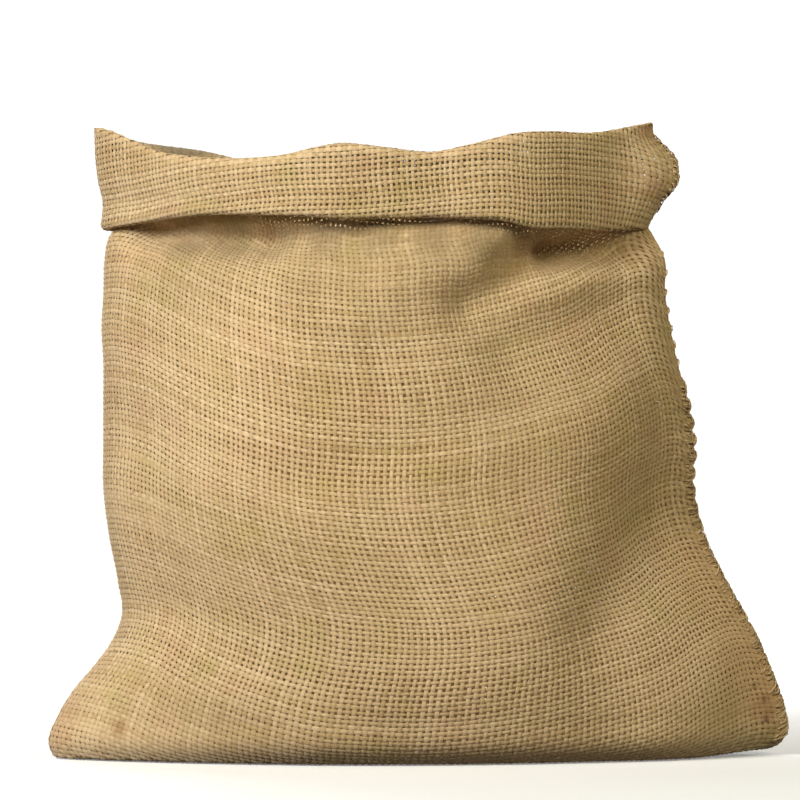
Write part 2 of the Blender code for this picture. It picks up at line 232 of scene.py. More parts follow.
# The flat cloth, measured along it: the lower part ends at LOWER_PART, and the wall's
# length is up to MOUTH_FROM, where the pieces of the rolled mouth start.
SEAM_ALLOWANCE = 0.01
LOWER_PART = 0.225
WALL_LENGTH = 0.346
MOUTH_FROM = ON_WALL + 0.02
HALVES = {"front": lambda share: share < 0.5, "back": lambda share: share >= 0.5}

# Where the warps crowd round the sack: the place as a share, its width and how much.
CROWDED = ((0.25, 0.085, -0.09), (0.42, 0.06, 0.11), (0.08, 0.05, 0.11))
EDGE_CROWDING_OVER = 0.007

# How wide the yarns are against those of the cover. The rear is woven nearly closed.
FRONT_WIDTH, REAR_WIDTH = 1.10, 1.6
FRONT_CUFF_WIDTH, REAR_CUFF_WIDTH = 1.06, 1.35
RIM_WIDTH, SHELTERED_WIDTH = 1.35, 1.35
HIDDEN_WIDTH, EDGE_WIDTH = 1.4, 1.4
SHELTERED_FROM, SHELTERED_OVER = 333 * MM, 10 * MM
RELIEF_LOST = 0.65
MOST_STRETCH = 2.8
WARP_ROOM, WEFT_ROOM = 1.0, 1.05
YARN_ROOF, YARN_TWIST = 0.15 * MM, 0.3
YARN_PLACE = 1.7 * MM

# Whip stitches and loose fibres.
STITCH_POINTS = 35
STITCH_SHARES = 31
STITCH_LEVEL, STITCH_SUNK = 0.75 * MM, 0.3 * MM
STRAND_SIDE = (0.31, 0.52, 0.79)
FIBRES = 1500
FIBRES_FROM, FIBRES_TO = 0.055, 0.46

# The stage: lights (name, place, target, size, share of the key power, colour), the
# glow inside the sack, the sweep and the camera.
WHITE, WARM = (1, 1, 1), (0.97, 0.93, 0.66)
LIGHTS = (
    ("key", (-1.55, -1.65, 1.25), (0, 0, 0.17), 1.1, 0.78, WHITE),
    ("fill", (1.2, -1.75, 1.45), (0, 0, 0.15), 1.0, 0.29, WARM),
    ("rear", (-1.0, 1.8, 1.0), (0, 0, 0.17), 1.0, 0.22, WHITE),
)
GLOW_COLOUR, GLOW_AT, GLOW_SIZE = (1.0, 0.77, 0.45), (-0.01, 0.0, 0.15), 0.03
SURROUNDINGS = (1.0, 0.92, 0.8, 1.0)
SWEEP_BEND_AT, SWEEP_BEND, SWEEP_HALF_WIDTH = 3.4, 1.2, 5.0
SWEEP_FROM, SWEEP_TOP = -4.0, 4.0
CAMERA_AT = (-0.0102, -2.6, 0.194)
SENSOR, VIEW_WIDTH = 36.0, 0.4348

# Stains, painted shade, painted light and two orange tints along the sewn edge: where, how far
# they reach, how strong they are and their colour.
# The first colour is for small rusty stains, the second and third are for painted shade under
# the cuff and the last is for painted light.
RUSTY, SHADED, DEEP_SHADE, PAINTED_LIGHT = (
    (0.25, 0.10, 0.03),
    (0.33, 0.23, 0.11),
    (0.17, 0.12, 0.05),
    (0.95, 0.68, 0.38),
)
PATCH_FADES_AT, PATCH_FULL_AT = 1.1, 0.35
PATCH_COLUMNS = ("x", "y", "z", "reach", "strength", "colour")
STAINS_AND_PAINTED_LIGHT = (
    (0.1885, 0.003, 0.0265, 0.012, 0.6, (0.42, 0.19, 0.08)),
    (0.1898, 0.002, 0.0205, 0.0030, 0.9, (0.16, 0.06, 0.015)),
    # Two broad orange tints along the lower part of the sewn edge.
    (0.180, 0.000, 0.050, 0.036, 0.40, (0.86, 0.50, 0.22)),
    (0.160, -0.008, 0.100, 0.036, 0.38, (0.86, 0.52, 0.23)),
    (0.1643, 0.0002, 0.0905, 0.0030, 0.60, RUSTY),
    (0.1746, 0.0063, 0.0790, 0.0030, 0.60, RUSTY),
    (0.1825, -0.0014, 0.0388, 0.0028, 0.60, RUSTY),
    (0.1880, 0.0026, 0.0313, 0.0030, 0.60, RUSTY),
    (-0.161, -0.042, 0.0187, 0.006, 0.55, (0.32, 0.15, 0.05)),
    # Painted shade on the inside of the rear rim; it also darkens the rear cuff.
    (-0.130, 0.038, 0.332, 0.026, 0.6, (0.16, 0.13, 0.09)),
    # Painted shade: three broad soft patches on the wall under the cuff in front.
    (-0.117, -0.043, 0.266, 0.042, 0.30, SHADED),
    (-0.047, -0.068, 0.265, 0.042, 0.30, SHADED),
    (0.011, -0.069, 0.265, 0.038, 0.26, SHADED),
    # Painted shadow: seven small dark patches in a line right under the cuff's fold in front.
    (-0.125, -0.030, 0.279, 0.015, 0.40, DEEP_SHADE),
    (-0.100, -0.036, 0.280, 0.015, 0.40, DEEP_SHADE),
    (-0.076, -0.046, 0.281, 0.015, 0.40, DEEP_SHADE),
    (-0.050, -0.058, 0.282, 0.015, 0.40, DEEP_SHADE),
    (-0.022, -0.063, 0.282, 0.015, 0.40, DEEP_SHADE),
    (0.008, -0.063, 0.281, 0.015, 0.40, DEEP_SHADE),
    (0.034, -0.060, 0.279, 0.015, 0.40, DEEP_SHADE),
    # Painted light: four broad pale patches, two at the lower right, one low in the middle and
    # one on the left wall.
    (0.170, -0.010, 0.085, 0.055, 0.35, PAINTED_LIGHT),
    (0.145, -0.040, 0.035, 0.055, 0.35, PAINTED_LIGHT),
    (0.020, -0.085, 0.070, 0.060, 0.22, PAINTED_LIGHT),
    (-0.120, -0.070, 0.200, 0.060, 0.16, PAINTED_LIGHT),
    # Painted shade: one broad darker patch on the front, right of the middle.
    (0.055, -0.078, 0.205, 0.055, 0.22, (0.44, 0.33, 0.16)),
    # Small stains and marks.
    (0.130, -0.008, 0.309, 0.010, 0.4, (0.42, 0.20, 0.09)),
    (0.124, -0.006, 0.341, 0.009, 0.45, (0.40, 0.17, 0.06)),
    (-0.192, -0.010, 0.020, 0.020, 0.35, (0.50, 0.25, 0.12)),
    (-0.079, -0.080, 0.083, 0.006, 0.7, (0.30, 0.14, 0.03)),
    (-0.083, -0.080, 0.085, 0.003, 0.9, (0.20, 0.09, 0.02)),
    (-0.153, -0.050, 0.236, 0.0035, 0.8, (0.16, 0.08, 0.02)),
)


# Properties


class SACK_PG_cloth(PropertyGroup):
    """Sizes and colours of the cloth."""

    warps: IntProperty(
        name="Warps round the sack",
        description="How many yarns run up the cloth, all the way round",
        default=254,
        min=40,
        max=400,
    )
    weft_pitch: FloatProperty(
        name="Weft pitch",
        description="Distance from one crosswise yarn to the next",
        default=2.85 * MM,
        min=1.5 * MM,
        max=12 * MM,
        unit="LENGTH",
        precision=5,
    )
    warp_cover: FloatProperty(
        name="Warp cover",
        description="Share of the warp pitch that a warp's width fills",
        default=0.60,
        min=0.3,
        max=0.98,
        subtype="FACTOR",
    )
    weft_cover: FloatProperty(
        name="Weft cover",
        description="Share of the weft pitch that a weft's width fills",
        default=0.64,
        min=0.3,
        max=0.98,
        subtype="FACTOR",
    )
    rise: FloatProperty(
        name="Crimp",
        description="How far a yarn bends out of the cloth's middle at a crossing",
        default=0.30 * MM,
        min=0.1 * MM,
        max=0.6 * MM,
        unit="LENGTH",
        precision=5,
    )
    light_yarn: FloatVectorProperty(
        name="Light yarn",
        description="Colour of the palest jute",
        default=(0.78, 0.57, 0.32),
        min=0.0,
        max=1.0,
        subtype="COLOR",
    )
    dark_yarn: FloatVectorProperty(
        name="Dark yarn",
        description="Colour of the darkest jute",
        default=(0.50, 0.325, 0.135),
        min=0.0,
        max=1.0,
        subtype="COLOR",
    )


class SACK_PG_sewing(PropertyGroup):
    """Sizes and colours of the sewing."""

    thickness: FloatProperty(
        name="Sewing yarn",
        description="Thickness of the sewing yarn",
        default=1.5 * MM,
        min=0.5 * MM,
        max=3 * MM,
        unit="LENGTH",
        precision=5,
    )
    colour: FloatVectorProperty(
        name="Sewing yarn colour",
        description="Colour of the sewing yarn",
        default=(0.68, 0.49, 0.26),
        min=0.0,
        max=1.0,
        subtype="COLOR",
    )


class SACK_PG_stage(PropertyGroup):
    """Light, floor and camera."""

    key_power: FloatProperty(
        name="Key light",
        description="Power of the large light at the front left",
        default=86.0,
        min=0.0,
        unit="POWER",
    )
    ambient: FloatProperty(
        name="Ambient light",
        description="Strength of the even white surroundings",
        default=0.05,
        min=0.0,
        max=5.0,
    )
    inner_glow: FloatProperty(
        name="Inner glow",
        description="Light that the cloth lets through and that fills the inside, in watts",
        default=0.085,
        min=0.0,
        max=20.0,
    )
    floor_colour: FloatVectorProperty(
        name="Floor",
        description="Colour of the floor and the backdrop",
        default=(0.92, 0.92, 0.91),
        min=0.0,
        max=1.0,
        subtype="COLOR",
    )


# Reading the tables


def column(table, names, name):
    """One named column of a table, as an array."""
    place = names.index(name)
    return np.array([row[place] for row in table], float)


def smooth_read(xs, ys, x):
    """The value at x of a smooth curve through the points (xs, ys)."""
    slopes = np.gradient(ys, xs)
    x = np.clip(x, xs[0], xs[-1])
    i = np.clip(np.searchsorted(xs, x) - 1, 0, len(xs) - 2)
    step = xs[i + 1] - xs[i]
    t = (x - xs[i]) / step
    start = ys[i] * (1 + 2 * t) * (1 - t) ** 2
    end = ys[i + 1] * t * t * (3 - 2 * t)
    bend = step * t * (1 - t) * (slopes[i] * (1 - t) - slopes[i + 1] * t)
    return start + end + bend


def read(table, names, name, at):
    """A named column in millimetres, read smoothly at a place in metres."""
    first = column(table, names, names[0])
    return smooth_read(first, column(table, names, name), np.asarray(at) / MM)


def ease(value):
    """0 below 0, 1 above 1 and smooth between."""
    value = np.clip(value, 0.0, 1.0)
    return value * value * (3 - 2 * value)


def noise(x, y, seed):
    """Smooth noise from -1 to 1 with cells of size 1."""
    wide, tall = NOISE_CELLS
    table = np.random.default_rng(seed).uniform(-1, 1, NOISE_CELLS)
    x, y = np.broadcast_arrays(np.asarray(x, float), np.asarray(y, float))
    left, low = np.floor(x).astype(int), np.floor(y).astype(int)
    across, up = ease(x - left), ease(y - low)
    next_left, next_low = (left + 1) % wide, (low + 1) % tall
    left, low = left % wide, low % tall
    bottom = table[left, low] * (1 - across) + table[next_left, low] * across
    top = table[left, next_low] * (1 - across) + table[next_left, next_low] * across
    return bottom * (1 - up) + top * up


# The sack's shape


def section(height):
    """The wall's middle surface at a level, in metres and degrees."""
    found = {
        name: float(read(SECTIONS, SECTION_COLUMNS, name, height))
        for name in SECTION_COLUMNS
    }
    for name in ("left", "right", "front", "back"):
        found[name] *= MM
    found["left"] += CLOTH / 2
    for name in ("right", "front", "back"):
        found[name] -= CLOTH / 2
    return found


def mixed(one, other, share):
    """A section part of the way from one to the other."""
    return {
        name: value + (other[name] - value) * share
        for name, value in one.items()
        if name in other
    }


def cuff_section(share):
    """The cuff's outer layer, part of the way from the rim to its lower fold."""
    shares = column(CUFF, CUFF_COLUMNS, "share")
    left, right, out = (
        float(smooth_read(shares, column(CUFF, CUFF_COLUMNS, name), share)) * MM
        for name in ("left", "right", "out")
    )
    ends = column(CUFF, CUFF_COLUMNS, "right") * MM
    straight = ends[0] + (ends[-1] - ends[0]) * share
    found = dict(section(RIM_MEAN))
    found["left"] = left + CLOTH / 2
    found["right"] = straight - CLOTH / 2
    found["bulge"] = right - straight
    found["front"] += out
    found["back"] += out
    return found


def half_ring(shape, reach):
    """Points of a section from its right end to its left end, evenly spaced."""
    angle = np.linspace(0.0, math.pi, RING_STEPS + 1)
    middle = (shape["left"] + shape["right"]) / 2
    half = (shape["right"] - shape["left"]) / 2
    side = (1 + np.cos(angle)) / 2
    sharp = shape["sharp_left"] + (shape["sharp_right"] - shape["sharp_left"]) * side
    sine = np.sin(angle)
    x = middle + half * np.cos(angle)
    y = reach * (sine * (1 - sharp) + sine * sine * sharp)
    along = np.concatenate([[0], np.cumsum(np.hypot(np.diff(x), np.diff(y)))])
    even = np.linspace(0, along[-1], HALF_COLUMNS + 1)
    return np.interp(even, along, x), np.interp(even, along, y)


def ring(shape):
    """A section's points, +1 at the front or -1 behind, and each one's way to the seam."""
    front_x, front_y = half_ring(shape, shape["front"])
    back_x, back_y = half_ring(shape, shape["back"])
    x = np.concatenate([front_x, back_x[-2:0:-1]])
    y = np.concatenate([-front_y, back_y[-2:0:-1]])
    place = np.arange(2 * HALF_COLUMNS)
    side = np.where(place <= HALF_COLUMNS, 1.0, -1.0)
    step = np.hypot(front_x[1] - front_x[0], front_y[1] - front_y[0])
    return x, y, side, np.minimum(place, 2 * HALF_COLUMNS - place) * step


def by_side(table, x, side):
    """A front or rear column of a table along X, for each point's own side."""
    front = read(table, PLACE_COLUMNS, "front", x)
    back = read(table, PLACE_COLUMNS, "back", x)
    return np.where(side > 0, front, back) * MM


def fold_rise(x, z, side):
    """How far the wall's folds move it outward at each point."""
    total = np.zeros_like(x)
    for row in FOLDS:
        fold = dict(zip(FOLD_COLUMNS, row))
        start = np.array([fold["x0"], fold["z0"]]) * MM
        run = np.array([fold["x1"], fold["z1"]]) * MM - start
        share = ((x - start[0]) * run[0] + (z - start[1]) * run[1]) / (run @ run)
        near = np.clip(share, 0.0, 1.0)
        away = np.hypot(x - start[0] - near * run[0], z - start[1] - near * run[1])
        swell = np.exp(-((away / (fold["width"] * MM)) ** 2))
        here = side > 0 if fold["side"] == "front" else side < 0
        total += np.where(here, fold["rise"] * MM * swell, 0.0)
    return total


def pushed_out(x, y, amount):
    """The ring's points moved along its outward normals, and not at its two ends."""
    run_x = np.roll(x, -3) - np.roll(x, 3)
    run_y = np.roll(y, -3) - np.roll(y, 3)
    size = np.hypot(run_x, run_y)
    amount = amount * ease(np.abs(y) / np.abs(y).max() / 0.35)
    return x - run_y / size * amount, y + run_x / size * amount


def drawn_to_seam(x, y, way, reach):
    """The right end of a ring drawn out to the sewn edge."""
    near = np.exp(-((way / (13 * MM)) ** 2))
    thin = 0.7 * np.exp(-((way / (8 * MM)) ** 2)) * reach / SEAM_REACH
    return x + reach * near, y * (1 - thin)


def scallop_wave(along, pitch):
    """0 in the notches under the stitches and 1 between them."""
    return np.abs(np.sin(math.pi * along / pitch)) ** 0.8


def wall_scallop(height):
    """How far the notch at a height draws the wall's sewn edge in."""
    depth = read(SCALLOPS, SCALLOP_COLUMNS, "depth", height) * MM
    return depth * (1 - scallop_wave(height * WAVE_STRETCH, SCALLOP_PITCH))


def pucker(way, side, height):
    """The small in-and-out waves that the stitches draw beside the sewn edge."""
    near = np.exp(-((way / PUCKER_REACH) ** 2)) * ease(way / (3 * MM))
    phase = 2 * math.pi * (height * WAVE_STRETCH + way * 0.5) / SCALLOP_PITCH + side
    fade = ease((210 * MM - height) / (40 * MM)) * ease(height / (12 * MM))
    return PUCKER_HEIGHT * near * np.sin(phase) * fade


def turned(x, y, degrees):
    """The points turned about +Z."""
    angle = math.radians(degrees)
    return (
        x * math.cos(angle) - y * math.sin(angle),
        x * math.sin(angle) + y * math.cos(angle),
    )


def wall_row(height):
    """The points of the wall at a level, with the rim's rise near the mouth."""
    shape = section(height)
    x, y, side, way = ring(shape)
    share = ease((height - RIM_LIFT_FROM) / (RIM_MEAN - RIM_LIFT_FROM))
    z = height + share * (by_side(RIM, x, side) - RIM_MEAN)
    rise = fold_rise(x, z, side) * (1 - share) + by_side(MOUTH_WAVES, x, side) * share
    curl = CURL_LIFT * ease((x - CURL_FROM) / CURL_OVER)
    z = z + curl * (1 - ease(height / CURL_FADES_AT))
    x, y = pushed_out(x, y, rise)
    reach = SEAM_REACH * ease(height / (6 * MM) + 0.35) * ease((296 * MM - height) / (15 * MM))
    x, y = drawn_to_seam(x, y, way, max(reach - wall_scallop(height), 0.0))
    y = y - side * pucker(way, side, height)
    x, y = turned(x, y, shape["turn"])
    return np.stack([x, y, z], axis=1)


def foot_row(share):
    """The points of the cloth under the sack, between the bottom seam and its edge."""
    points = wall_row(CLOTH / 2).copy()
    seam = points[:, 0] * math.tan(math.radians(section(CLOTH / 2)["turn"]))
    points[:, 1] = seam + (points[:, 1] - seam) * share
    return points


def rolled_row(shape, drop_from_rim, share, reach=0.0):
    """A row of the rolled mouth: a height below the rim, then a share to the cuff's fold."""
    x, y, side, way = ring(shape)
    rim = by_side(RIM, x, side) - RIM_RADIUS - CLOTH / 2
    fold = by_side(CUFF_FOLD, x, side) + FOLD_RADIUS + CLOTH / 2
    x, y = pushed_out(x, y, by_side(MOUTH_WAVES, x, side))
    x = x + shape.get("bulge", 0.0) * np.exp(-((way / CUFF_BULGE_REACH) ** 2))
    x, y = drawn_to_seam(x, y, way, reach)
    z = rim + (fold - rim) * share - drop_from_rim
    return np.stack([x, y, z], axis=1)


def cuff_seam_reach(share):
    """How far the cuff's right end is drawn out, down its height."""
    low, high = CUFF_SEAM_SHARES
    full = 7.5 * MM * ease((share - low) / 0.3) * ease((high + 0.12 - share) / 0.3)
    notch = CUFF_SCALLOP_DEPTH * (1 - scallop_wave(share * 50 * MM, CUFF_SCALLOP_PITCH))
    return max(full - notch, 0.0)


def wall_heights():
    """The levels of the wall's rows."""
    return np.linspace(CLOTH / 2, WALL_TOP, WALL_ROWS)


@functools.lru_cache(maxsize=1)
def sack_rows():
    """Rows of points from the bottom seam to the hem behind the cuff, and their marks."""
    rows, marks = [], []

    def add(points, mark):
        rows.append(points + np.array(CENTRING))
        marks.append(mark)

    for share in FOOT_SHARES:
        add(foot_row(share), ON_FOOT)
    for height in wall_heights():
        turning = ease((height - FACES_TURN_AT) / (WALL_TOP - FACES_TURN_AT))
        add(wall_row(height), ON_WALL + 0.9 * turning)
    wall, top, low = section(RIM_MEAN), cuff_section(0.0), cuff_section(1.0)
    for angle in np.radians(np.arange(0, 180, 15)):
        shape = mixed(wall, top, (1 - math.cos(angle)) / 2)
        ends = mixed(wall, top, min(1 - math.cos(angle), 1.0))
        shape["left"], shape["right"] = ends["left"], ends["right"]
        add(rolled_row(shape, -RIM_RADIUS * math.sin(angle), 0.0), ON_RIM)
    for share in np.linspace(0.0, 1.0, 49):
        add(rolled_row(cuff_section(share), 0.0, share, cuff_seam_reach(share)), ON_CUFF)
    gap = 2 * FOLD_RADIUS / (low["front"] - wall["front"])
    behind = mixed(low, wall, gap)
    for angle in np.radians(np.arange(20, 180, 20)):
        shape = mixed(low, behind, (1 - math.cos(angle)) / 2)
        add(rolled_row(shape, FOLD_RADIUS * math.sin(angle), 1.0), ON_FOLD)
    hem_top = mixed(wall, top, 0.5)
    for share in np.linspace(0.0, 1.0, 8):
        shape = mixed(behind, hem_top, share)
        add(rolled_row(shape, HEM_SHORT_OF_RIM * share, 1 - share), ON_HEM)
    return np.array(rows), np.array(marks)


def smoothed(values, reach):
    """Values round the sack, smoothed over a reach of columns."""
    far = reach * 3
    weight = np.exp(-((np.arange(-far, far + 1) / reach) ** 2))
    padded = np.concatenate([values[-far - 1 : -1], values, values[1 : far + 1]])
    return np.convolve(padded, weight / weight.sum(), "valid")


class Surface:
    """A cloth's middle surface, on an even grid of cloth distance and share across."""

    def __init__(self, rows, marks):
        steps = np.linalg.norm(np.diff(rows, axis=0), axis=2)
        along = np.concatenate([np.zeros((1, rows.shape[1])), np.cumsum(steps, axis=0)])
        along = self.evened(along, marks)
        self.along = along
        self.starts, self.ends = along[0], along[-1]
        self.length = self.ends.max()
        even = np.arange(0, self.length + GRID_STEP, GRID_STEP)
        columns = range(rows.shape[1])
        self.points = np.stack(
            [
                np.stack([np.interp(even, along[:, c], rows[:, c, k]) for c in columns], 1)
                for k in range(3)
            ],
            axis=2,
        )
        self.marks = np.stack([np.interp(even, along[:, c], marks) for c in columns], 1)
        across = np.gradient(self.points, axis=1)
        up = np.gradient(self.points, axis=0)
        self.spread = np.linalg.norm(across, axis=2) * (rows.shape[1] - 1)
        self.stretch = np.clip(np.linalg.norm(up, axis=2) / GRID_STEP, 1.0, MOST_STRETCH)
        self.across = self.unit(across)
        self.up = self.unit(up)
        self.normal = self.unit(np.cross(self.up, self.across))

    @staticmethod
    def evened(along, marks):
        """The distances with the wefts drawn straighter at the foot's ends and on the cuff.

        Some cloth is folded under at the foot's ends. Columns that pass through a deep
        fold are longer, and the cloth behind the cuff takes up the difference.
        """
        wall, rim, fold = (int(np.argmax(marks >= mark)) for mark in (ON_WALL, ON_RIM, ON_FOLD))
        foot = along[wall]
        along = along + np.maximum(smoothed(foot, FOOT_EVENED_OVER) - foot, 0)
        start = wall + int(EVENED_FROM / WALL_TOP * WALL_ROWS)
        share = np.clip((np.arange(len(marks)) - start) / (rim - start), 0, 1)[:, None]
        return along - share * (along[fold] - smoothed(along[fold], CUFF_EVENED_OVER))

    @staticmethod
    def unit(vectors):
        size = np.linalg.norm(vectors, axis=-1, keepdims=True)
        return vectors / np.maximum(size, 1e-12)

    def read(self, grid, share, distance):
        """The grid's values at a share across and a distance along the cloth."""
        rows, columns = grid.shape[:2]
        down = np.clip(distance / GRID_STEP, 0, rows - 1.001)
        over = np.clip(share, 0, 1) * (columns - 1)
        over = np.clip(over, 0, columns - 1.001)
        i, j = down.astype(int), over.astype(int)
        a, b = down - i, over - j
        if grid.ndim == 3:
            a, b = a[..., None], b[..., None]
        low = grid[i, j] * (1 - b) + grid[i, j + 1] * b
        high = grid[i + 1, j] * (1 - b) + grid[i + 1, j + 1] * b
        return low * (1 - a) + high * a

    def on(self, share, distance):
        """Whether there is cloth at a share across and a distance along."""
        places = np.linspace(0, 1, len(self.ends))
        start, end = np.interp(share, places, self.starts), np.interp(share, places, self.ends)
        return (distance >= start) & (distance <= end)


@functools.lru_cache(maxsize=1)
def sack_surface():
    """The whole cloth, from the right seam round the front and back to the seam."""
    rows, marks = sack_rows()
    return Surface(np.concatenate([rows, rows[:, :1]], axis=1), marks)


# Weaving


@functools.lru_cache(maxsize=1)
def crowding():
    """Where the warps lie round the sack: looser in front, crowded at the sewn edge."""
    share = np.linspace(0, 1, 4001)
    way = np.minimum(share, 1 - share)
    density = 1 + 1.0 * np.exp(-((way / EDGE_CROWDING_OVER) ** 2))
    for place, width, amount in CROWDED:
        density += amount * np.exp(-(((share - place) / width) ** 2))
    along = np.concatenate([[0], np.cumsum((density[1:] + density[:-1]) / 2)])
    return along / along[-1], share


def warp_share(i, distance, count, seed):
    """Where warp i lies across the cloth, as a share."""
    wander = 0.10 * noise(i * 1.37, distance / (16 * MM), seed)
    drift = 0.32 * noise(i / 8.0, distance / (70 * MM), seed + 1)
    return np.interp((i + 0.5 + wander + drift) / count, *crowding())


def weft_distance(j, share, pitch, seed):
    """Where weft j lies along the cloth."""
    wander = 0.12 * noise(j * 1.61, share * 46, seed + 2)
    drift = 0.38 * noise(j / 7.0, share * 9, seed + 3)
    return (j + 0.5 + wander + drift) * pitch


def sheltered(share, distance, marks):
    """Where the front wall is tucked in under the cuff, most of all at the right."""
    rolled = ease((marks - ON_WALL) / 0.8)
    most = 0.35 + 0.65 * np.exp(-(((share - 0.09) / 0.07) ** 2))
    past = ease((distance - SHELTERED_FROM) / SHELTERED_OVER)
    return past * (share < 0.5) * (1 - rolled) * most


def tightness(share, distance, marks):
    """How much wider the yarns are than in the loosest cloth, in the middle of the front."""
    rolled = ease((marks - ON_WALL) / 0.8)
    middle = np.exp(-(((share - 0.25) / 0.095) ** 2))
    right = np.exp(-(((share - 0.07) / 0.09) ** 2))
    front = FRONT_WIDTH - 0.11 * middle - 0.10 * right + 0.06 * ease((share - 0.36) / 0.1)
    foot = 0.12 * (1 - ease((distance - 70 * MM) / (30 * MM)))
    front = front + foot * (1 - 0.5 * middle)
    cuff = FRONT_CUFF_WIDTH - 0.12 * middle + 0.22 * np.exp(-((share / 0.06) ** 2))
    rear = REAR_WIDTH - 0.04 * np.exp(-(((share - 0.5) / 0.02) ** 2))
    wall = np.where(share < 0.5, front, rear)
    found = wall * (1 - rolled) + np.where(share < 0.5, cuff, REAR_CUFF_WIDTH) * rolled
    tucked = sheltered(share, distance, marks)
    found = found + np.maximum(SHELTERED_WIDTH - found, 0) * tucked
    behind_cuff = ease((marks - 1.05) / 0.3) * (marks < ON_RIM)
    found = found + (HIDDEN_WIDTH - found) * behind_cuff
    over_rim = ease((marks - 1.8) / 0.15) * (marks < ON_RIM + 0.5)
    found = found + np.maximum(RIM_WIDTH - found, 0) * over_rim
    way = np.minimum(share, 1 - share)
    margin = np.exp(-((way / 0.012) ** 4)) * (1 - ease((distance - 250 * MM) / (40 * MM)))
    edge = np.exp(-((way / (0.006 + 0.012 * rolled)) ** 4))
    return found + (EDGE_WIDTH - found) * np.maximum(margin, edge)


def ribbons(surface, centre_share, centre_distance, lift, half_width, over, tone, place):
    """Ribbons of three points across along each row of the arrays, with what they need."""
    middle = surface.read(surface.points, centre_share, centre_distance)
    normal = surface.read(surface.normal, centre_share, centre_distance)
    marks = surface.read(surface.marks, centre_share, centre_distance)
    outside = 1 - 2 * ease((marks - ON_WALL) / 0.8)
    sideways = surface.read(
        surface.across if over == "warp" else surface.up, centre_share, centre_distance
    )
    spread = surface.read(surface.spread, centre_share, centre_distance)
    roof = YARN_ROOF * outside
    twist = YARN_TWIST * np.sin(place)
    points, shares, distances = [], [], []
    for across, height in ((-1.0, -roof), (0.0, roof), (1.0, -roof)):
        off = half_width * (across if across else twist)
        points.append(middle + sideways * off[..., None] + normal * (lift + height)[..., None])
        moved = half_width * across
        if over == "warp":
            shares.append(centre_share + moved / spread)
            distances.append(centre_distance)
        else:
            shares.append(centre_share)
            distances.append(centre_distance + moved)
    return {
        "points": np.stack(points, axis=2),
        "cloth": np.stack([np.stack(shares, 2), np.stack(distances, 2)], axis=3),
        "marks": marks,
        "on": surface.on(centre_share, centre_distance),
        "tone": tone,
        # How far the yarn lies out of the cloth; the jute's painted shade darkens it where it
        # dips under.
        "dip_shade": lift * outside,
        "place": place,
    }


def slub_swell(j, across, rows, seed):
    """Thick places in a few of the wefts."""
    rng = np.random.default_rng(seed + 20)
    swell = np.zeros_like(across)
    for _ in range(rows * 2):
        weft, place, length = rng.integers(rows), rng.uniform(), rng.uniform(0.006, 0.03)
        swell[weft] += 0.22 * np.exp(-(((across[weft] - place) / length) ** 2))
    return swell


